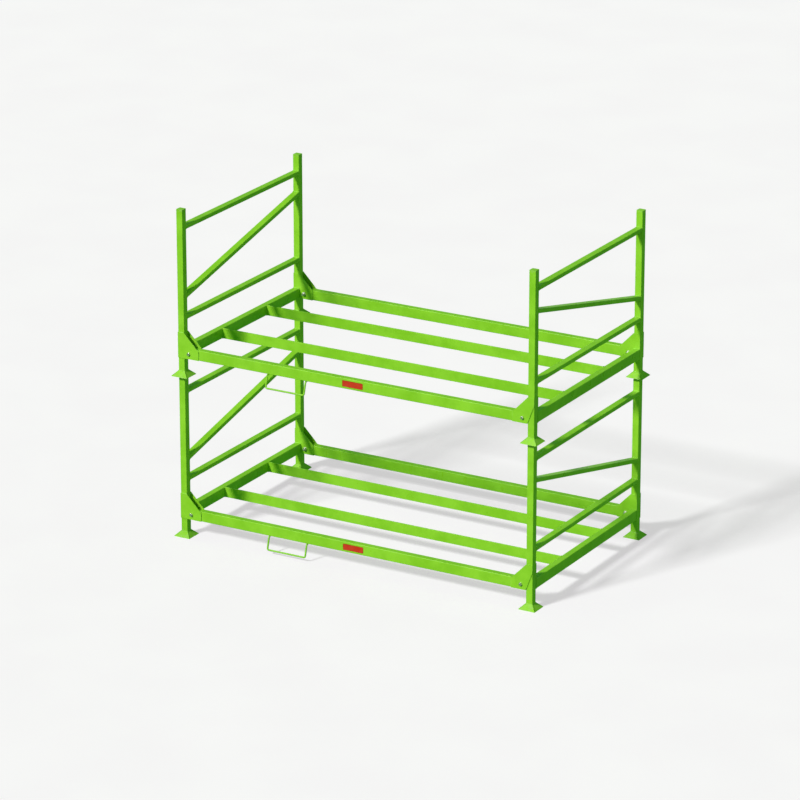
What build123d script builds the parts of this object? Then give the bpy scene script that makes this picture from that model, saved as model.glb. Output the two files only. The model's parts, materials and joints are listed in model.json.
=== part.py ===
from build123d import *
import math
import os

# A stack of two identical folding rack modules for tyres. Millimetres, +Z up, +X along the tyre
# rows, the long front side towards -Y. The origin is on the floor under the middle of the stack.

# Overall sizes of a module
LENGTH = 2250.0          # over the posts, along X
DEPTH = 1285.0           # over the posts, along Y
STACK_PITCH = 957.0      # from one module's feet to the next module's feet
POST_TOP = 970.0         # top of a post above the bottom of its foot
POST_BOTTOM = POST_TOP - STACK_PITCH   # a post stands on the top of the post below it

# Sections
POST = 40.0              # square post tube
POST_WALL = 3.0
BEAM_DEEP = 40.0         # front, rear and end beams
BEAM_TALL = 60.0
BEAM_WALL = 3.0
BAR_WIDE = 40.0          # bars of the end frames
BAR_TALL = 25.0
BAR_WALL = 2.0
RAIL_THICK = 8.0         # inner rails, flat bar on edge
TUBE_CORNER = 3.5        # outside corner radius of the tubes
PLATE = 4.0              # corner plates and gussets
GAP = 0.5                # between faces that slide past each other
EDGE = 1.0               # small chamfers

# Heights above the bottom of the feet
BASE_BOTTOM = 108.0
BASE_TOP = BASE_BOTTOM + BEAM_TALL
LOWER_BAR_Z = 340.5      # centre of the lower bar
TOP_BAR_Z = 862.5        # centre of the top bar
BRACE_HIGH_Z = 736.5     # centre of the diagonal where it meets the high end's post
BRACE_LOW_Z = 464.0      # and where it meets the low end's post
GUSSET_TOP = 257.0

# Distances in from a module's outer faces
RAIL_INSET = 404.5       # middle of an inner rail, from the front or rear face
GUSSET_REACH = 134.0     # end of a gusset along the beam
GUSSET_SLOPE = 126.0     # where its sloping edge meets the top of the beam
SEAM_TOP = 215.0         # where the beam gusset's outer edge reaches the post's outer face
GUSSET_TAPER = 24.0      # the beam gusset's inboard end is ground down over this length

# Folding pivot of an end frame
PIVOT_Z = BASE_BOTTOM + BEAM_TALL / 2
PIVOT_INSET = POST + BEAM_TALL / 2 + GAP   # the folded post lies just above the beam
BOLT_R = 6.0
BOLT_HOLE_R = 6.05
BOLT_HEAD_ACROSS = 18.0
BOLT_HEAD_TALL = 7.5
NUT_TALL = 10.8
WASHER_R = 12.0
WASHER_THICK = 2.5
THREAD_PAST_NUT = 4.0
HEXAGON_CHAMFER = 30.0   # degrees, on the corners of heads and nuts
LUG_PLATE = 5.0
LUG_R = 18.0             # half height of a lug and radius of its end
BOSS_R = 11.0
SLOT_REACH = 100.0       # the top of the beam is open from its end to here, for the lug

# Foot
FOOT_WIDE = 102.0        # across the rim
FOOT_TALL = 30.0
FLAP = 4.0               # drop between the outer and inner faces of the flaps
CAP_THICK = 3.0

# Rod handle welded under the front beam
HANDLE_INSET = 700.0     # its middle, from the left end
HANDLE_WIDE = 245.0      # between the middles of its legs
HANDLE_ROD_R = 5.0
HANDLE_DROP = 79.0       # from the beam down to the middle of the grip
HANDLE_LEAN = 15.0       # degrees that the legs lean forward
HANDLE_BEND_BACK = 6.0   # the legs start this far behind the beam's front face
HANDLE_TAIL_BACK = 34.0  # the welded tails end this far behind it
HANDLE_TOP_BEND = 14.0   # bend radii of the rod
HANDLE_GRIP_BEND = 10.0

# Plain label in the middle of the front beam
LABEL_LONG = 130.0
LABEL_TALL = 36.0
LABEL_THICK = 0.5
LABEL_CORNER = 4.0

LEFT = -LENGTH / 2
FRONT = -DEPTH / 2
PIVOT_X = LEFT + PIVOT_INSET
POST_X = LEFT + POST / 2
POST_Y = FRONT + POST / 2
PLATE_Y = FRONT + BEAM_DEEP     # outer face of the inner corner plates
BAR_RUN = DEPTH - 2 * POST


def tube(across, up, wall, plane, run):
    """A rectangular tube with rounded corners, its section centred on the plane's origin."""
    outside = RectangleRounded(across, up, TUBE_CORNER)
    inside = RectangleRounded(across - 2 * wall, up - 2 * wall, TUBE_CORNER - wall)
    return extrude(plane * (outside - inside), amount=run)


def along_x(x, y, z):
    return Plane(origin=(x, y, z), x_dir=(0, 1, 0), z_dir=(1, 0, 0))


def along_y(x, y, z):
    return Plane(origin=(x, y, z), x_dir=(1, 0, 0), z_dir=(0, 1, 0))


def block(x0, x1, y0, y1, z0, z1):
    middle = ((x0 + x1) / 2, (y0 + y1) / 2, (z0 + z1) / 2)
    return Pos(*middle) * Box(x1 - x0, y1 - y0, z1 - z0)


def rod_y(radius, x, z, y0, y1):
    """A round bar along Y."""
    return extrude(along_y(x, y0, z) * Circle(radius), amount=y1 - y0)


def upright_plate(outline, y0, y1):
    """A plate in an upright plane along X, from its outline of (inset from the left end, height)."""
    points = [(LEFT + inset, z) for inset, z in outline]
    face = make_face(Polyline(*points, close=True))
    front = Plane(origin=(0, y1, 0), x_dir=(1, 0, 0), z_dir=(0, -1, 0))
    return extrude(front * face, amount=y1 - y0)


def half_turn(part):
    """The same piece at the opposite corner or end of the module."""
    return Rot(0, 0, 180) * part


def mirror_x(part):
    return mirror(part, about=Plane.YZ)


def mirror_y(part):
    return mirror(part, about=Plane.XZ)


def group(parts):
    return Compound(children=list(parts))


# ---- base ----

def front_beam():
    """Tube whose ends are open on top for the lugs and rounded to clear the folding posts."""
    start = LEFT + POST + GAP
    beam = tube(BEAM_DEEP, BEAM_TALL, BEAM_WALL, along_x(start, POST_Y, PIVOT_Z), -2 * start)
    back = FRONT + BEAM_DEEP
    slot = block(
        start, LEFT + SLOT_REACH,
        FRONT + BEAM_WALL, back - BEAM_WALL,
        BASE_TOP - 2 * BEAM_WALL, BASE_TOP,
    )
    corner = block(start, PIVOT_X, FRONT, back, PIVOT_Z, BASE_TOP)
    round_end = rod_y(BEAM_TALL / 2 - GAP, PIVOT_X, PIVOT_Z, FRONT, back)
    hole = rod_y(BOLT_HOLE_R, PIVOT_X, PIVOT_Z, FRONT, back)
    for cut in (slot, corner - round_end, hole):
        beam = beam - cut - mirror_x(cut)
    return beam


def inner_rail():
    """Front inner rail, a flat bar on edge between the end beams."""
    y = FRONT + RAIL_INSET
    end = LEFT + BEAM_DEEP
    bar = block(end, -end, y - RAIL_THICK / 2, y + RAIL_THICK / 2, BASE_BOTTOM, BASE_TOP)
    return chamfer(bar.edges().filter_by(Axis.X), EDGE)


def end_beam():
    start = PLATE_Y + PLATE
    return tube(BEAM_DEEP, BEAM_TALL, BEAM_WALL, along_y(POST_X, start, PIVOT_Z), -2 * start)


def corner_plate():
    """Left front inner plate: joins the front beam to the end beam behind the post."""
    outline = [
        (0, BASE_BOTTOM), (GUSSET_SLOPE, BASE_BOTTOM), (GUSSET_SLOPE, BASE_TOP),
        (POST, GUSSET_TOP), (0, GUSSET_TOP),
    ]
    plate = upright_plate(outline, PLATE_Y, PLATE_Y + PLATE)
    relief = block(LEFT, LEFT + POST + GAP, PLATE_Y, PLATE_Y + GAP, BASE_BOTTOM, GUSSET_TOP)
    above_beam = block(
        LEFT, LEFT + GUSSET_SLOPE, PLATE_Y, PLATE_Y + GAP, BASE_TOP, GUSSET_TOP
    )
    hole = rod_y(BOLT_HOLE_R, PIVOT_X, PIVOT_Z, PLATE_Y, PLATE_Y + PLATE)
    return plate - relief - above_beam - hole


def beam_gusset():
    """Left rear outer plate: fixed to the beam, it laps over the post up to a slanted edge."""
    rear = -FRONT
    outline = [
        (POST + GAP, BASE_BOTTOM), (GUSSET_REACH, BASE_BOTTOM), (GUSSET_REACH, BASE_TOP),
        (GUSSET_SLOPE, BASE_TOP), (POST, GUSSET_TOP), (0, GUSSET_TOP), (0, SEAM_TOP),
    ]
    plate = upright_plate(outline, rear, rear + PLATE)
    relief = block(LEFT, LEFT + POST + GAP, rear, rear + GAP, BASE_BOTTOM, GUSSET_TOP)
    above_beam = block(LEFT, LEFT + GUSSET_REACH, rear, rear + GAP, BASE_TOP, GUSSET_TOP)
    hole = rod_y(BOLT_HOLE_R, PIVOT_X, PIVOT_Z, rear, rear + PLATE)
    taper = Plane.XY * make_face(
        Polyline(
            (LEFT + GUSSET_REACH - GUSSET_TAPER, rear + PLATE),
            (LEFT + GUSSET_REACH, rear + PLATE),
            (LEFT + GUSSET_REACH, rear + GAP),
            close=True,
        )
    )
    return plate - relief - above_beam - hole - extrude(taper, amount=GUSSET_TOP)


# ---- pivots ----

def pivot_bolt():
    """Left front bolt, its head outside the gusset."""
    head_y = FRONT - PLATE
    nut_end = PLATE_Y + PLATE + WASHER_THICK + NUT_TALL
    shank = rod_y(BOLT_R, PIVOT_X, PIVOT_Z, head_y, nut_end + THREAD_PAST_NUT)
    shank = chamfer(shank.edges().group_by(Axis.Y)[-1], EDGE)
    hexagon = RegularPolygon(BOLT_HEAD_ACROSS / 2, 6, major_radius=False)
    head = extrude(along_y(PIVOT_X, head_y - BOLT_HEAD_TALL, PIVOT_Z) * hexagon, amount=BOLT_HEAD_TALL)
    return shank + turned_corners(head, -1)


def turned_corners(prism, end):
    """A hexagon prism with the corners of its front (-1) or rear (1) end turned off to a cone."""
    face = prism.faces().sort_by(Axis.Y)[0 if end < 0 else -1].center()
    long = BOLT_HEAD_ACROSS
    small = BOLT_HEAD_ACROSS / 2 - GAP
    large = small + long / math.tan(math.radians(HEXAGON_CHAMFER))
    middle = Pos(face.X, face.Y - end * long / 2, face.Z)
    cone = middle * Rot(-90 * end, 0, 0) * Cone(large, small, long)
    return prism & cone


def pivot_nut():
    start = PLATE_Y + PLATE + WASHER_THICK
    hexagon = RegularPolygon(BOLT_HEAD_ACROSS / 2, 6, major_radius=False)
    ring = hexagon - Circle(BOLT_HOLE_R)
    nut = extrude(along_y(PIVOT_X, start, PIVOT_Z) * ring, amount=NUT_TALL)
    return turned_corners(nut, 1)


def pivot_washer():
    start = PLATE_Y + PLATE
    ring = Circle(WASHER_R) - Circle(BOLT_HOLE_R)
    return extrude(along_y(PIVOT_X, start, PIVOT_Z) * ring, amount=WASHER_THICK)


# ---- end frame, the left one: its front post carries the outer gusset ----

def post(y):
    height = POST_TOP - CAP_THICK - POST_BOTTOM
    return tube(POST, POST, POST_WALL, Plane(origin=(POST_X, y, POST_BOTTOM)), height)


def post_cap(y):
    plate = Plane(origin=(POST_X, y, POST_TOP - CAP_THICK)) * RectangleRounded(POST, POST, TUBE_CORNER)
    return extrude(plate, amount=CAP_THICK)


def frame_bar(z):
    return tube(BAR_WIDE, BAR_TALL, BAR_WALL, along_y(POST_X, FRONT + POST, z), BAR_RUN)


def diagonal():
    """Brace from high on the rear post to low on the front post, cut flush at both posts."""
    rise = BRACE_HIGH_Z - BRACE_LOW_Z
    slope = Vector(0, BAR_RUN, rise)
    extra = slope.normalized() * BAR_TALL
    start = Vector(POST_X, FRONT + POST, BRACE_LOW_Z) - extra
    plane = Plane(origin=start, x_dir=(1, 0, 0), z_dir=slope)
    bar = tube(BAR_WIDE, BAR_TALL, BAR_WALL, plane, slope.length + 2 * BAR_TALL)
    between = block(LEFT, LEFT + POST, FRONT + POST, -FRONT - POST, 0, POST_TOP)
    return bar & between


def foot(y):
    """Four sloping flaps round the post's lower end, open downwards to take the post below."""
    slope = (FOOT_WIDE - POST) / FOOT_TALL
    outer = foot_flare(y, FOOT_WIDE, FOOT_TALL)
    inner = foot_flare(y, FOOT_WIDE - slope * FLAP, FOOT_TALL - FLAP)
    stem = block(LEFT, LEFT + POST, y - POST / 2, y + POST / 2, 0, FOOT_TALL)
    return outer - inner - stem


def foot_flare(y, wide, tall):
    rim = Plane(origin=(POST_X, y, 0)) * Rectangle(wide, wide)
    neck = Plane(origin=(POST_X, y, tall)) * Rectangle(POST, POST)
    return loft([rim, neck])


def post_gusset():
    """Left front outer plate: fixed to the post, it laps over the beam."""
    outline = [
        (0, BASE_BOTTOM), (GUSSET_REACH, BASE_BOTTOM), (GUSSET_REACH, BASE_TOP - PLATE),
        (GUSSET_SLOPE, BASE_TOP), (POST, GUSSET_TOP), (0, GUSSET_TOP),
    ]
    plate = upright_plate(outline, FRONT - PLATE, FRONT)
    relief = block(
        LEFT + POST, LEFT + GUSSET_REACH, FRONT - GAP, FRONT, BASE_BOTTOM, GUSSET_TOP
    )
    hole = rod_y(BOLT_HOLE_R, PIVOT_X, PIVOT_Z, FRONT - PLATE, FRONT)
    return plate - relief - hole


def hinge_lug():
    """Left front lug: two cheeks and a bored boss, welded to the post inside the beam's end."""
    side = FRONT + BEAM_WALL + GAP
    inside = BEAM_DEEP - 2 * (BEAM_WALL + GAP)
    cheek = block(LEFT + POST, PIVOT_X, side, side + LUG_PLATE, PIVOT_Z - LUG_R, PIVOT_Z + LUG_R)
    cheek = cheek + rod_y(LUG_R, PIVOT_X, PIVOT_Z, side, side + LUG_PLATE)
    other = Pos(0, inside - LUG_PLATE, 0) * cheek
    boss = rod_y(BOSS_R, PIVOT_X, PIVOT_Z, side, side + inside)
    hole = rod_y(BOLT_HOLE_R, PIVOT_X, PIVOT_Z, side, side + inside)
    return cheek + other + boss - hole


# ---- handle and label ----

def handle():
    """One bent rod: its tails lie back against the underside of the beam, where they are welded."""
    middle = LEFT + HANDLE_INSET
    half = HANDLE_WIDE / 2
    tail_z = BASE_BOTTOM - HANDLE_ROD_R
    bend_y = FRONT + HANDLE_BEND_BACK
    grip_z = BASE_BOTTOM - HANDLE_DROP
    grip_y = bend_y - (tail_z - grip_z) * math.tan(math.radians(HANDLE_LEAN))
    path = FilletPolyline(
        (middle - half, FRONT + HANDLE_TAIL_BACK, tail_z),
        (middle - half, bend_y, tail_z),
        (middle - half, grip_y, grip_z),
        (middle + half, grip_y, grip_z),
        (middle + half, bend_y, tail_z),
        (middle + half, FRONT + HANDLE_TAIL_BACK, tail_z),
        radius=[HANDLE_TOP_BEND, HANDLE_GRIP_BEND, HANDLE_GRIP_BEND, HANDLE_TOP_BEND],
    )
    return sweep(Plane(origin=path @ 0, z_dir=path % 0) * Circle(HANDLE_ROD_R), path=path)


def label():
    face = Plane(origin=(0, FRONT, PIVOT_Z), x_dir=(1, 0, 0), z_dir=(0, -1, 0))
    return extrude(face * RectangleRounded(LABEL_LONG, LABEL_TALL, LABEL_CORNER), amount=LABEL_THICK)


# ---- assembly ----

def base_pieces():
    beam = front_beam()
    rail = inner_rail()
    end = end_beam()
    plate = corner_plate()
    plates = [plate, mirror_x(plate), mirror_y(plate), half_turn(plate)]
    gusset = beam_gusset()
    fixings = {"bolts": pivot_bolt(), "nuts": pivot_nut(), "washers": pivot_washer()}
    pieces = {
        "front_beam": beam,
        "rear_beam": half_turn(beam),
        "front_inner_rail": rail,
        "rear_inner_rail": half_turn(rail),
        "left_end_beam": end,
        "right_end_beam": half_turn(end),
        "corner_plates": group(plates),
        "beam_gussets": group([gusset, half_turn(gusset)]),
        "handle": handle(),
        "label": label(),
    }
    for name, piece in fixings.items():
        pieces["pivot_" + name] = group([piece, mirror_x(piece), mirror_y(piece), half_turn(piece)])
    return pieces


def end_frame_pieces():
    """The left end frame. The right one is the same frame turned round."""
    lug = hinge_lug()
    return {
        "front_post": post(POST_Y),
        "rear_post": post(-POST_Y),
        "top_bar": frame_bar(TOP_BAR_Z),
        "lower_bar": frame_bar(LOWER_BAR_Z),
        "diagonal": diagonal(),
        "feet": group([foot(POST_Y), foot(-POST_Y)]),
        "post_caps": group([post_cap(POST_Y), post_cap(-POST_Y)]),
        "hinge_lugs": group([lug, mirror_y(lug)]),
        "post_gusset": post_gusset(),
    }


def right_name(name):
    """What a piece of the left end frame is called after the half turn."""
    swap = {"front_post": "rear_post", "rear_post": "front_post"}
    return swap.get(name, name)


def module_pieces(prefix, join_ends):
    """All pieces of one module. join_ends puts the small pieces of both ends in shared nodes."""
    pieces = {prefix + "_" + name: piece for name, piece in base_pieces().items()}
    shared = ("post_caps", "hinge_lugs", "post_gusset")
    for name, piece in end_frame_pieces().items():
        turned = half_turn(piece)
        if join_ends and name in shared:
            pieces[prefix + "_" + name.rstrip("s") + "s"] = group(piece.solids() + turned.solids())
        else:
            pieces[prefix + "_left_" + name] = piece
            pieces[prefix + "_right_" + right_name(name)] = turned
    return pieces


os.makedirs("parts", exist_ok=True)
stack = module_pieces("lower", True)
for name, piece in module_pieces("upper", False).items():
    stack[name] = Pos(0, 0, STACK_PITCH) * piece
for name, piece in stack.items():
    export_step(piece, "parts/" + name + ".step")
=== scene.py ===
import json
import math

import bmesh
import bpy
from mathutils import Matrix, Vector, noise


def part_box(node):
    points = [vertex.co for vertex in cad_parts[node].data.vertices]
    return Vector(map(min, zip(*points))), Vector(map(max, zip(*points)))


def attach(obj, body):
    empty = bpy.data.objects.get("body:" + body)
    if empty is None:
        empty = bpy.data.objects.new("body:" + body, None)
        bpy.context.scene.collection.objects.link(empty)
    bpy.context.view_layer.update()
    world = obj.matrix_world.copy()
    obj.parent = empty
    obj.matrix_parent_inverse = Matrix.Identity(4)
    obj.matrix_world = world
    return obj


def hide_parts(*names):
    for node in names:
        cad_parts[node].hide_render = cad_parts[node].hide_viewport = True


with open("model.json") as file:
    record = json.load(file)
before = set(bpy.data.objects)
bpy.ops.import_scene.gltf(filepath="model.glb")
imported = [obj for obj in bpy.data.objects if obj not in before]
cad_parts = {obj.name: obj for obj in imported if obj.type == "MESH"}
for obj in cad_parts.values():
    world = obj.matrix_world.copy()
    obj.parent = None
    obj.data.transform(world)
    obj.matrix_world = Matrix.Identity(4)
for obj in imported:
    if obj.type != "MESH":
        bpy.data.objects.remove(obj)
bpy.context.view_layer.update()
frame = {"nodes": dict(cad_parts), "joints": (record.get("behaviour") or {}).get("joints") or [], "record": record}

MM = 0.001

# ---- places, read from the frame ----

MODULES = ("lower", "upper")
SIDES = ("left", "right")
ENDS = ("front", "rear")
OUTWARD = {"left": -1, "right": 1, "front": -1, "rear": 1}
MODULE_BOTTOM = {m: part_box(m + "_left_feet")[0].z for m in MODULES}
BASE_BODY = {"lower": "lower_rack", "upper": "upper_base"}

PIVOT = next(j for j in frame["joints"] if j["name"] == "upper_right_fold")["pos_m"]
PIVOT_X = PIVOT[0]
PIVOT_HEIGHT = PIVOT[2] - MODULE_BOTTOM["upper"]

POST_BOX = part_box("lower_right_front_post")
HALF_LENGTH = POST_BOX[1].x
POST = POST_BOX[1].x - POST_BOX[0].x
STACK_PITCH = MODULE_BOTTOM["upper"]
CORNER = 3.5 * MM              # outside corner radius of the tubes
PLATE_CORNER = 1 * MM          # and of the inner rails and the feet's necks
PLATE_REACH = 126 * MM         # a corner plate's inboard edge, from the post's outer face
GUSSET_REACH = 134 * MM        # an outer gusset's inboard edge, likewise
HANDLE_ROD_R = 5 * MM

X_AXIS = Vector((1, 0, 0))
Y_AXIS = Vector((0, 1, 0))
Z_AXIS = Vector((0, 0, 1))


def end_body(module, side):
    """The body that an end frame is on: the lower module's are fixed."""
    return "lower_rack" if module == "lower" else "upper_" + side + "_end"


def post_box(module, side, end):
    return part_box("_".join((module, side, end, "post")))


# ---- shader helpers ----

EDGE_SHARP = 0.88              # cosines between a rounded normal and the real one: a full edge
EDGE_FLAT = 0.985              # and a face away from any edge


class Shader:
    """A node material whose pieces are added by short calls."""

    def __init__(self, name):
        self.material = bpy.data.materials.new(name)
        self.material.use_nodes = True
        self.tree = self.material.node_tree
        self.tree.nodes.clear()
        self.surface = self.add("ShaderNodeBsdfPrincipled")
        output = self.add("ShaderNodeOutputMaterial")
        self.link(self.surface.outputs["BSDF"], output.inputs["Surface"])
        self.place = self.add("ShaderNodeTexCoord").outputs["Object"]

    def add(self, kind, **settings):
        node = self.tree.nodes.new(kind)
        for key, value in settings.items():
            setattr(node, key, value)
        return node

    def link(self, out, into):
        self.tree.links.new(out, into)

    def set(self, **values):
        """Constants on the surface, by socket name with _ for a space."""
        for key, value in values.items():
            self.surface.inputs[key.replace("_", " ")].default_value = value

    def noise(self, scale, detail=2.0, roughness=0.5):
        node = self.add("ShaderNodeTexNoise")
        node.inputs["Scale"].default_value = scale
        node.inputs["Detail"].default_value = detail
        node.inputs["Roughness"].default_value = roughness
        self.link(self.place, node.inputs["Vector"])
        return node.outputs["Fac"]

    def cells(self, scale):
        node = self.add("ShaderNodeTexVoronoi")
        node.inputs["Scale"].default_value = scale
        self.link(self.place, node.inputs["Vector"])
        return node.outputs["Color"]

    def span(self, value, low, high, out_low=0.0, out_high=1.0):
        """value between low and high, spread over out_low to out_high."""
        node = self.add("ShaderNodeMapRange", interpolation_type="SMOOTHSTEP")
        bounds = (low, high, out_low, out_high)
        for key, bound in zip(("From Min", "From Max", "To Min", "To Max"), bounds):
            node.inputs[key].default_value = bound
        self.link(value, node.inputs["Value"])
        return node.outputs["Result"]

    def maths(self, operation, first, second):
        node = self.add("ShaderNodeMath", operation=operation)
        for socket, value in zip(node.inputs, (first, second)):
            if isinstance(value, (int, float)):
                socket.default_value = value
            else:
                self.link(value, socket)
        return node.outputs["Value"]

    def mix(self, factor, first, second):
        """Colours blended by factor, each a colour or an output."""
        node = self.add("ShaderNodeMix", data_type="RGBA")
        self.link(factor, node.inputs[0])
        for socket, value in zip((node.inputs[6], node.inputs[7]), (first, second)):
            if isinstance(value, tuple):
                socket.default_value = (*value, 1.0)
            else:
                self.link(value, socket)
        return node.outputs[2]

    def edges(self, radius):
        """1 along sharp edges and 0 away from them."""
        bevel = self.add("ShaderNodeBevel", samples=4)
        bevel.inputs["Radius"].default_value = radius
        geometry = self.add("ShaderNodeNewGeometry")
        dot = self.add("ShaderNodeVectorMath", operation="DOT_PRODUCT")
        self.link(bevel.outputs["Normal"], dot.inputs[0])
        self.link(geometry.outputs["Normal"], dot.inputs[1])
        return self.span(dot.outputs["Value"], EDGE_SHARP, EDGE_FLAT, 1.0, 0.0)

    def height(self):
        split = self.add("ShaderNodeSeparateXYZ")
        self.link(self.place, split.inputs["Vector"])
        return split.outputs["Z"]

    def bump(self, *layers):
        """Each layer is (height value, height in metres)."""
        normal = None
        for value, metres in layers:
            node = self.add("ShaderNodeBump")
            node.inputs["Distance"].default_value = metres
            node.inputs["Strength"].default_value = 1.0
            self.link(value, node.inputs["Height"])
            if normal:
                self.link(normal, node.inputs["Normal"])
            normal = node.outputs["Normal"]
        self.link(normal, self.surface.inputs["Normal"])


# ---- materials ----

LIME = (0.305, 0.622, 0.036)
LIME_DEEP = (0.236, 0.528, 0.020)
# lighter coat for the edges: rubbed paint, and a painted highlight along them
LIME_RUBBED_AND_HIGHLIT = (0.430, 0.740, 0.150)
BARE_STEEL = (0.30, 0.31, 0.29)
DUST = (0.34, 0.46, 0.17)
WORN_AND_HIGHLIT_EDGE = 3.5 * MM           # how wide the lighter edges of the coat are: rubbed coat and painted highlight
FOOT_SCUFF = 60 * MM           # how far up from a module's feet the coat is scuffed
ZINC_DULL = (0.52, 0.53, 0.48)
ZINC_BRIGHT = (0.64, 0.64, 0.58)


def powder_coat(name, peel):
    """Gloss powder coat on welded tube: faint mottling, orange peel, edges lightened by rubbing and by a painted
    highlight, scuffed feet.
    """
    shader = Shader(name)
    mottle = shader.span(shader.noise(6.0, 5.0, 0.65), 0.32, 0.68)
    colour = shader.mix(mottle, LIME_DEEP, LIME)
    edge = shader.edges(WORN_AND_HIGHLIT_EDGE)
    # rubbed: a lighter coat along the edges, part wear and part painted highlight
    patch = shader.span(shader.noise(34.0, 5.0, 0.65), 0.36, 0.60)
    rubbed = shader.maths("MULTIPLY", edge, patch)
    colour = shader.mix(shader.maths("MULTIPLY", rubbed, 0.60), colour, LIME_RUBBED_AND_HIGHLIT)
    chip_spots = shader.span(shader.noise(95.0, 4.0, 0.7), 0.62, 0.66)
    chips = shader.maths("MULTIPLY", chip_spots, edge)
    colour = shader.mix(shader.maths("MULTIPLY", chips, 0.65), colour, BARE_STEEL)
    above_feet = shader.maths("MODULO", shader.height(), STACK_PITCH)
    low = shader.span(above_feet, 0.0, FOOT_SCUFF, 1.0, 0.0)
    scuffed = shader.maths("MULTIPLY", low, shader.span(shader.noise(60.0, 6.0, 0.7), 0.42, 0.7))
    colour = shader.mix(shader.maths("MULTIPLY", scuffed, 0.5), colour, DUST)
    shader.link(colour, shader.surface.inputs["Base Color"])
    gloss = shader.span(shader.noise(14.0, 3.0, 0.5), 0.3, 0.7, 0.27, 0.42)
    rough = shader.maths("ADD", gloss, shader.maths("MULTIPLY", rubbed, 0.16))
    rough = shader.maths("ADD", rough, shader.maths("MULTIPLY", scuffed, 0.2))
    shader.link(rough, shader.surface.inputs["Roughness"])
    shader.set(Specular_IOR_Level=0.4)
    shader.bump((shader.noise(520.0, 2.0, 0.5), peel), (shader.noise(70.0, 3.0, 0.5), peel))
    return shader.material


def zinc_plate(name):
    """Dull bright zinc with a spangle, for the bolts, nuts and washers."""
    shader = Shader(name)
    spangle = shader.cells(420.0)
    tone = shader.span(shader.noise(150.0, 4.0, 0.6), 0.3, 0.7)
    colour = shader.mix(tone, ZINC_DULL, ZINC_BRIGHT)
    shader.link(colour, shader.surface.inputs["Base Color"])
    shader.set(Metallic=0.9)
    split = shader.add("ShaderNodeSeparateColor")
    shader.link(spangle, split.inputs["Color"])
    rough = shader.span(split.outputs["Red"], 0.0, 1.0, 0.32, 0.48)
    shader.link(rough, shader.surface.inputs["Roughness"])
    shader.bump((shader.noise(900.0, 3.0, 0.6), 0.02 * MM))
    return shader.material


def label_vinyl(name, colour, worn):
    """Printed vinyl film with faint fading and rubbed edges."""
    shader = Shader(name)
    fade = shader.span(shader.noise(22.0, 4.0, 0.6), 0.3, 0.75)
    edge = shader.edges(1.2 * MM)
    faded = shader.mix(shader.maths("MULTIPLY", fade, 0.5), colour, worn)
    rubbed = shader.mix(shader.maths("MULTIPLY", edge, 0.4), faded, worn)
    shader.link(rubbed, shader.surface.inputs["Base Color"])
    rough = shader.span(shader.noise(40.0, 2.0, 0.5), 0.3, 0.7, 0.28, 0.40)
    shader.link(rough, shader.surface.inputs["Roughness"])
    shader.bump((shader.noise(260.0, 2.0, 0.5), 0.03 * MM))
    return shader.material


COAT = powder_coat("lime_powder_coat_paint", peel=0.07 * MM)
WELD_COAT = powder_coat("lime_powder_coat_on_weld", peel=0.12 * MM)
ZINC = zinc_plate("zinc_plate_finish")
LABEL_RED = label_vinyl("label_red_vinyl", (0.60, 0.022, 0.010), (0.66, 0.07, 0.035))
LABEL_RIM = label_vinyl("label_rim_vinyl", (0.28, 0.012, 0.008), (0.35, 0.03, 0.02))
SLOT_MATERIAL = {"lime_powder_coat": COAT, "zinc_plated_steel": ZINC, "label_red": LABEL_RED}


def dress_nodes():
    """Every CAD node keeps its mesh and gets the finish of its slot."""
    slots = {s["node"]: s["material_slot"] for s in frame["record"]["subparts"]}
    for name, node in frame["nodes"].items():
        for place in node.material_slots:
            place.material = SLOT_MATERIAL[slots[name]]


# ---- paths ----

def rectangle_path(centre, across, up, half_across, half_up, corner, arc_steps=4):
    """A closed path round a rectangle with rounded corners, in the plane of across and up."""
    points = []
    for quarter in range(4):
        sign_a = (1, -1, -1, 1)[quarter]
        sign_u = (1, 1, -1, -1)[quarter]
        middle = centre + across * sign_a * (half_across - corner) + up * sign_u * (half_up - corner)
        for step in range(arc_steps + 1):
            angle = math.radians(90 * quarter + 90 * step / arc_steps)
            points.append(middle + (across * math.cos(angle) + up * math.sin(angle)) * corner)
    return points


def even_points(path, closed, pitch):
    """Points along the path, evenly spaced by about pitch, and how far along each one is."""
    ends = path + [path[0]] if closed else path
    lengths = [(b - a).length for a, b in zip(ends, ends[1:])]
    total = sum(lengths)
    count = max(3, round(total / pitch))
    wanted = [total * i / count for i in range(count if closed else count + 1)]
    points = []
    leg = 0
    passed = 0.0
    for distance in wanted:
        while leg < len(lengths) - 1 and passed + lengths[leg] < distance:
            passed += lengths[leg]
            leg += 1
        part = min(1.0, (distance - passed) / lengths[leg])
        points.append(ends[leg].lerp(ends[leg + 1], part))
    return list(zip(points, wanted))


# ---- welds ----

BEAD_SIDES = 7
RIPPLE = 3.2 * MM              # from one ripple of a bead to the next
RINGS_PER_RIPPLE = 3
BAR_BEAD = 2.4 * MM            # radii of the beads: at tube ends,
PLATE_BEAD = 1.9 * MM          # along the edges of plates,
FOOT_BEAD = 1.5 * MM           # down the corners of the feet
CAP_BEAD = 0.9 * MM            # and round the caps of the posts
DRESSED_PROUD = 0.2 * MM       # left of a bead on the side that folds onto the beams
RIM_MARGIN = 2 * MM            # a foot's corner beads stop this far from the rim
END_MARGIN = 4 * MM            # and the plates' beads this far from the beam's end
GUSSET_TOP_MARGIN = 3 * MM     # a post gusset's top bead starts this far from the outer face
HANDLE_WELD_START = 16 * MM    # the handle's beads run back from here, behind the beam's face
HANDLE_WELD_OUT = 3.2 * MM     # this far either side of the rod's middle
HANDLE_WELD_DOWN = 0.8 * MM    # and this far below the beam
BEAD_STEADY = Vector((0.31, 0.52, 0.80))   # keeps a bead's rings from twisting
BEAD_RIPPLE = 0.13             # parts of its radius that a bead ripples
BEAD_WANDER = 0.22             # and wanders
BEAD_TIP = 0.35                # part of the radius left at the end of an open bead


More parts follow.
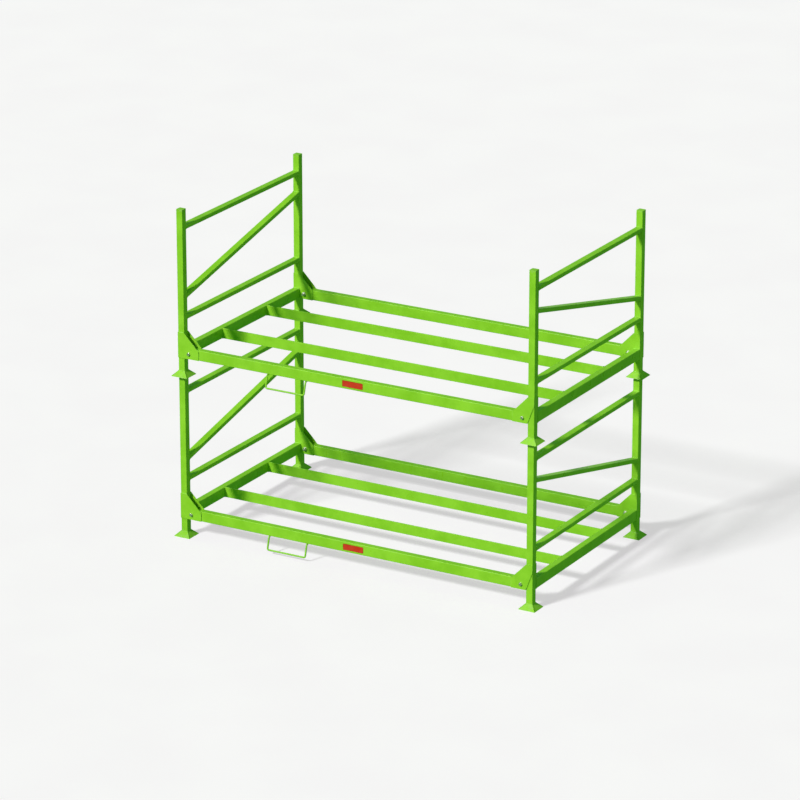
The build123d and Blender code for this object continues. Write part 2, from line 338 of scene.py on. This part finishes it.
def add_bead(mesh, path, radius, closed=True, roughness=1.0):
    """A rippled weld bead along the path, or an even ridge where roughness is 0."""
    rings = []
    spaced = even_points(path, closed, RIPPLE / RINGS_PER_RIPPLE)
    count = len(spaced)
    for i, (point, along) in enumerate(spaced):
        before = spaced[i - 1][0] if i or closed else point
        after = spaced[(i + 1) % count][0] if i + 1 < count or closed else point
        forward = (after - before).normalized()
        side = forward.orthogonal().normalized()
        if abs(forward.dot(BEAD_STEADY)) < 0.95:
            side = forward.cross(BEAD_STEADY).normalized()
        over = forward.cross(side)
        ripple = 1.0 + BEAD_RIPPLE * roughness * math.sin(2 * math.pi * along / RIPPLE)
        wander = 1.0 + BEAD_WANDER * roughness * noise.noise(point * 170.0)
        taper = 1.0
        if not closed:
            near_end = min(along, spaced[-1][1] - along)
            taper = BEAD_TIP + (1.0 - BEAD_TIP) * min(1.0, near_end / radius)
        size = radius * ripple * wander * taper
        ring = []
        for k in range(BEAD_SIDES):
            angle = 2 * math.pi * k / BEAD_SIDES
            offset = side * math.cos(angle) + over * math.sin(angle)
            ring.append(mesh.verts.new(point + offset * size))
        rings.append(ring)
    pairs = list(zip(rings, rings[1:]))
    if closed:
        pairs.append((rings[-1], rings[0]))
    for ring, following in pairs:
        for k in range(BEAD_SIDES):
            j = (k + 1) % BEAD_SIDES
            mesh.faces.new((ring[k], ring[j], following[j], following[k]))
    if not closed:
        mesh.faces.new(list(reversed(rings[0])))
        mesh.faces.new(rings[-1])


def around_tube(centre, half_tall):
    """A path round the end of a tube along Y, in its upright end plane."""
    return rectangle_path(centre, X_AXIS, Z_AXIS, POST / 2, half_tall, CORNER)


def around_post(centre, corner):
    return rectangle_path(centre, X_AXIS, Y_AXIS, POST / 2, POST / 2, corner)


def end_frame_welds(mesh, module, side):
    """Beads where the bars and the diagonal meet the posts, and at the caps of the posts."""
    prefix = module + "_" + side + "_"
    low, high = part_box(prefix + "top_bar")
    bar_tall = high.z - low.z
    for bar in ("top_bar", "lower_bar"):
        low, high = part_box(prefix + bar)
        for y in (low.y, high.y):
            centre = Vector(((low.x + high.x) / 2, y, (low.z + high.z) / 2))
            add_bead(mesh, around_tube(centre, bar_tall / 2), BAR_BEAD)
    low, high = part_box(prefix + "diagonal")
    slope = math.atan2(high.z - low.z - bar_tall, high.y - low.y)
    half_cut = bar_tall / math.cos(slope) / 2
    high_y = high.y if side == "left" else low.y
    for y in (low.y, high.y):
        z = high.z - half_cut if y == high_y else low.z + half_cut
        centre = Vector(((low.x + high.x) / 2, y, z))
        add_bead(mesh, around_tube(centre, half_cut), BAR_BEAD)
    for end in ENDS:
        low, high = post_box(module, side, end)
        cap_seam = Vector(((low.x + high.x) / 2, (low.y + high.y) / 2, high.z))
        add_bead(mesh, around_post(cap_seam, CORNER), CAP_BEAD)


def dress_flush(mesh, module, side):
    """Dresses the beads made so far down to a sliver on the side that folds onto the beams."""
    low, high = post_box(module, side, "front")
    limit = (high.x if side == "left" else low.x) - OUTWARD[side] * DRESSED_PROUD
    for vert in mesh.verts:
        if (vert.co.x - limit) * OUTWARD[side] < 0:
            vert.co.x = limit


def foot_welds(mesh, module, side, end):
    """Beads round the neck and down the corners of one foot."""
    feet_low, feet_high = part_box("_".join((module, side, "feet")))
    low, high = post_box(module, side, end)
    middle = (low + high) / 2
    neck = Vector((middle.x, middle.y, feet_high.z))
    add_bead(mesh, around_post(neck, PLATE_CORNER), BAR_BEAD)
    reach = (feet_high.x - feet_low.x) / 2 - RIM_MARGIN
    for a in (-1, 1):
        for b in (-1, 1):
            rim = Vector((middle.x + a * reach, middle.y + b * reach, feet_low.z + RIM_MARGIN))
            top = neck + Vector((a, b, 0)) * POST / 2
            add_bead(mesh, [rim, top], FOOT_BEAD, closed=False)


def post_gusset_welds(mesh, module, side):
    """Beads between the outer gusset and its post."""
    end = "front" if side == "left" else "rear"
    node = "lower_post_gussets" if module == "lower" else "upper_" + side + "_post_gusset"
    z_low, z_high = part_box(node)[0].z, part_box(node)[1].z
    low, high = post_box(module, side, end)
    outer_x = low.x if side == "left" else high.x
    inner_x = high.x if side == "left" else low.x
    face_y = low.y if end == "front" else high.y
    near_x = outer_x - OUTWARD[side] * GUSSET_TOP_MARGIN
    edge = [Vector((outer_x, face_y, z)) for z in (z_low, z_high)]
    add_bead(mesh, edge, PLATE_BEAD, closed=False)
    top = [Vector((x, face_y, z_high)) for x in (near_x, inner_x)]
    add_bead(mesh, top, PLATE_BEAD, closed=False)


def end_beam_welds(mesh, module, side):
    """Beads at both ends of an end beam, and where the inner rails meet it."""
    low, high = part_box(module + "_" + side + "_end_beam")
    for y in (low.y, high.y):
        centre = Vector(((low.x + high.x) / 2, y, (low.z + high.z) / 2))
        add_bead(mesh, around_tube(centre, (high.z - low.z) / 2), BAR_BEAD)
    inner_face = low.x if side == "right" else high.x
    for rail in ENDS:
        rail_low, rail_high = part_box(module + "_" + rail + "_inner_rail")
        middle = (rail_low + rail_high) / 2
        half = (rail_high - rail_low) / 2
        centre = Vector((inner_face, middle.y, middle.z))
        path = rectangle_path(centre, Y_AXIS, Z_AXIS, half.y, half.z, PLATE_CORNER)
        add_bead(mesh, path, BAR_BEAD)


def corner_welds(mesh, module, side, end):
    """Beads where a corner plate meets the back and the underside of the beam."""
    low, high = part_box(module + "_" + end + "_beam")
    back = high.y if end == "front" else low.y
    reach = OUTWARD[side] * (HALF_LENGTH - PLATE_REACH)
    start = OUTWARD[side] * (high.x - END_MARGIN)
    upright = [Vector((reach, back, z)) for z in (low.z, high.z - CORNER)]
    add_bead(mesh, upright, PLATE_BEAD, closed=False)
    under = [Vector((x, back, low.z)) for x in (start, reach)]
    add_bead(mesh, under, PLATE_BEAD, closed=False)


def gusset_weld(mesh, module, side, end):
    """The bead under the outer gusset that is fixed to the beam."""
    low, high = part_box(module + "_" + end + "_beam")
    face = low.y if end == "front" else high.y
    start = OUTWARD[side] * (high.x - END_MARGIN)
    reach = OUTWARD[side] * (HALF_LENGTH - GUSSET_REACH)
    under = [Vector((x, face, low.z)) for x in (start, reach)]
    add_bead(mesh, under, PLATE_BEAD, closed=False)


def handle_welds(mesh, module):
    """A bead round the end of each tail of the handle, under the beam."""
    low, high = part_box(module + "_handle")
    beam_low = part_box(module + "_front_beam")[0]
    start = beam_low.y + HANDLE_WELD_START
    for x in (low.x + HANDLE_ROD_R, high.x - HANDLE_ROD_R):
        ways = [(-1, start), (-1, high.y), (1, high.y), (1, start)]
        z = beam_low.z - HANDLE_WELD_DOWN
        path = [Vector((x + way * HANDLE_WELD_OUT, y, z)) for way, y in ways]
        add_bead(mesh, path, BAR_BEAD, closed=False)


def base_welds(mesh, module):
    for side in SIDES:
        end_beam_welds(mesh, module, side)
        for end in ENDS:
            corner_welds(mesh, module, side, end)
    gusset_weld(mesh, module, "right", "front")
    gusset_weld(mesh, module, "left", "rear")
    handle_welds(mesh, module)


def finished_piece(name, mesh, body, materials, smooth=True):
    """Makes the mesh an object with its finish, riding on its body."""
    bmesh.ops.recalc_face_normals(mesh, faces=mesh.faces)
    data = bpy.data.meshes.new(name)
    for face in mesh.faces:
        face.smooth = smooth
    mesh.to_mesh(data)
    mesh.free()
    piece = bpy.data.objects.new(name, data)
    bpy.context.scene.collection.objects.link(piece)
    for material in materials:
        data.materials.append(material)
    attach(piece, body)
    return piece


def add_welds():
    for module in MODULES:
        mesh = bmesh.new()
        base_welds(mesh, module)
        name = module + "_base_welds"
        finished_piece(name, mesh, BASE_BODY[module], [WELD_COAT])
        for side in SIDES:
            mesh = bmesh.new()
            end_frame_welds(mesh, module, side)
            post_gusset_welds(mesh, module, side)
            dress_flush(mesh, module, side)
            for end in ENDS:
                foot_welds(mesh, module, side, end)
            name = "_".join((module, side, "end_frame_welds"))
            finished_piece(name, mesh, end_body(module, side), [WELD_COAT])


# ---- bolt threads ----

BOLT_R = 6 * MM
NUT_TALL = 10.8 * MM
THREAD_PITCH = 1.75 * MM
THREAD_DEPTH = 0.45 * MM
THREAD_STEPS = 24              # points in one turn
THREAD_TURNS = 1.6             # that show
THREAD_LEAD = 0.2              # turns between the nut and the first of them


def thread_path(x, z, start, end):
    """A helix round the bolt at x and z, away from the nut's face at the distance start."""
    points = []
    for step in range(round(THREAD_STEPS * THREAD_TURNS)):
        angle = 2 * math.pi * step / THREAD_STEPS
        y = start + THREAD_PITCH * (step / THREAD_STEPS + THREAD_LEAD)
        points.append(Vector((x + BOLT_R * math.cos(angle), end * y, z + BOLT_R * math.sin(angle))))
    return points


def add_threads():
    """The turns of thread that show past each nut."""
    for module in MODULES:
        mesh = bmesh.new()
        z = MODULE_BOTTOM[module] + PIVOT_HEIGHT
        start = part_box(module + "_pivot_nuts")[0].y + NUT_TALL
        for x in (-PIVOT_X, PIVOT_X):
            for end in (1, -1):
                path = thread_path(x, z, start, end)
                add_bead(mesh, path, THREAD_DEPTH, closed=False, roughness=0.0)
        name = module + "_bolt_threads"
        finished_piece(name, mesh, BASE_BODY[module], [ZINC])


# ---- labels ----

LABEL_CORNER = 4 * MM
LABEL_RIM_WIDE = 2.2 * MM
LABEL_STEP_WIDE = 0.3 * MM     # from the rim down to the red field
LABEL_STEP_DEEP = 0.15 * MM
LABEL_ARC_STEPS = 6


def add_labels():
    """A plain red label without lettering in the middle of each front beam."""
    for module in MODULES:
        low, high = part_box(module + "_label")
        half = (high - low) / 2
        centre = Vector(((low.x + high.x) / 2, high.y, (low.z + high.z) / 2))
        mesh = bmesh.new()
        outline = rectangle_path(
            centre, X_AXIS, Z_AXIS, half.x, half.z, LABEL_CORNER, LABEL_ARC_STEPS
        )
        back = mesh.faces.new([mesh.verts.new(p) for p in outline])
        grown = bmesh.ops.extrude_face_region(mesh, geom=[back])["geom"]
        moved = [v for v in grown if isinstance(v, bmesh.types.BMVert)]
        bmesh.ops.translate(mesh, verts=moved, vec=Vector((0, low.y - high.y, 0)))
        front = next(f for f in grown if isinstance(f, bmesh.types.BMFace))
        bmesh.ops.inset_region(mesh, faces=[front], thickness=LABEL_RIM_WIDE)
        step = bmesh.ops.inset_region(
            mesh, faces=[front], thickness=LABEL_STEP_WIDE, depth=-LABEL_STEP_DEEP
        )["faces"]
        for face in mesh.faces:
            face.material_index = 1
        for face in [front] + list(step):
            face.material_index = 0
        name = module + "_label_film"
        finishes = [LABEL_RED, LABEL_RIM]
        film = finished_piece(name, mesh, BASE_BODY[module], finishes, smooth=False)
        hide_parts(module + "_label")


# ---- studio ----

FLOOR_HALF = 200.0
CAMERA_AZIMUTH = 29.844        # degrees round from looking along +Y
CAMERA_ELEVATION = 19.433
CAMERA_DISTANCE = 24.7
CAMERA_AIM = Vector((-0.0185, -0.089, 0.836))
CAMERA_LENS = 199.23           # on a sensor this wide, in millimetres
CAMERA_SENSOR = 36.0
FILL = (0.095, 0.325, 0.055)   # light from all round, tinted green to deepen the shaded sides
BACKDROP = (0.62, 0.62, 0.62)  # a pale band round the horizon
BACKDROP_BOTTOM = (-0.03, -0.02)     # heights of direction where it starts
BACKDROP_TOP = (0.20, 0.10)          # and fades out, each as fill then backdrop
FLOOR_TONES = ((0.46, 0.46, 0.46), (0.48, 0.48, 0.48))
FLOOR_GLOW = (0.565, 0.460, 0.580)   # evens the tint of the fill out on the floor


def direction(azimuth, elevation):
    """From the object towards a place seen at that azimuth and elevation."""
    a = math.radians(azimuth)
    e = math.radians(elevation)
    return Vector((math.sin(a) * math.cos(e), -math.cos(a) * math.cos(e), math.sin(e)))


def add_camera():
    data = bpy.data.cameras.new("camera")
    data.lens = CAMERA_LENS
    data.sensor_width = CAMERA_SENSOR
    data.clip_end = 500.0
    camera = bpy.data.objects.new("camera", data)
    bpy.context.scene.collection.objects.link(camera)
    towards = direction(CAMERA_AZIMUTH, CAMERA_ELEVATION)
    camera.location = CAMERA_AIM + towards * CAMERA_DISTANCE
    camera.rotation_euler = (math.radians(90 - CAMERA_ELEVATION), 0, math.radians(CAMERA_AZIMUTH))
    bpy.context.scene.camera = camera


def add_sun(name, azimuth, elevation, strength, softness):
    data = bpy.data.lights.new(name, "SUN")
    data.energy = strength
    data.angle = math.radians(softness)
    light = bpy.data.objects.new(name, data)
    bpy.context.scene.collection.objects.link(light)
    light.rotation_euler = direction(azimuth, elevation).to_track_quat("Z", "Y").to_euler()


def add_world():
    """Soft green-tinted light from all round, with a plain pale backdrop where the floor ends."""
    world = bpy.data.worlds.new("studio")
    world.use_nodes = True
    nodes = world.node_tree.nodes
    links = world.node_tree.links
    split = nodes.new("ShaderNodeSeparateXYZ")
    links.new(nodes.new("ShaderNodeTexCoord").outputs["Generated"], split.inputs["Vector"])
    blends = []
    for fill_at, backdrop_at in (BACKDROP_BOTTOM, BACKDROP_TOP):
        ramp = nodes.new("ShaderNodeMapRange")
        ramp.inputs["From Min"].default_value = fill_at
        ramp.inputs["From Max"].default_value = backdrop_at
        links.new(split.outputs["Z"], ramp.inputs["Value"])
        blend = nodes.new("ShaderNodeMix")
        blend.data_type = "RGBA"
        links.new(ramp.outputs["Result"], blend.inputs[0])
        blend.inputs[6].default_value = (*FILL, 1.0)
        blend.inputs[7].default_value = (*BACKDROP, 1.0)
        blends.append(blend)
    links.new(blends[0].outputs[2], blends[1].inputs[7])
    links.new(blends[1].outputs[2], nodes["Background"].inputs["Color"])
    bpy.context.scene.world = world


def add_floor():
    """A pale floor whose glow hides the tint of the fill. It throws nothing back onto the rack."""
    shader = Shader("studio_floor_paint")
    tone = shader.span(shader.noise(1.5, 3.0, 0.5), 0.3, 0.7)
    colour = shader.mix(tone, *FLOOR_TONES)
    shader.link(colour, shader.surface.inputs["Base Color"])
    shader.set(Roughness=0.9, Emission_Color=(*FLOOR_GLOW, 1.0), Emission_Strength=1.0)
    mesh = bmesh.new()
    corners = [(-1, -1), (1, -1), (1, 1), (-1, 1)]
    mesh.faces.new([mesh.verts.new((x * FLOOR_HALF, y * FLOOR_HALF, 0)) for x, y in corners])
    data = bpy.data.meshes.new("floor")
    mesh.to_mesh(data)
    mesh.free()
    data.materials.append(shader.material)
    floor = bpy.data.objects.new("floor", data)
    bpy.context.scene.collection.objects.link(floor)
    floor.visible_diffuse = False
    floor.visible_glossy = False


dress_nodes()
add_welds()
add_threads()
add_labels()
add_camera()
add_floor()
add_world()
add_sun("key", azimuth=-20, elevation=38, strength=3.25, softness=9)
bpy.context.scene.view_settings.view_transform = "Standard"
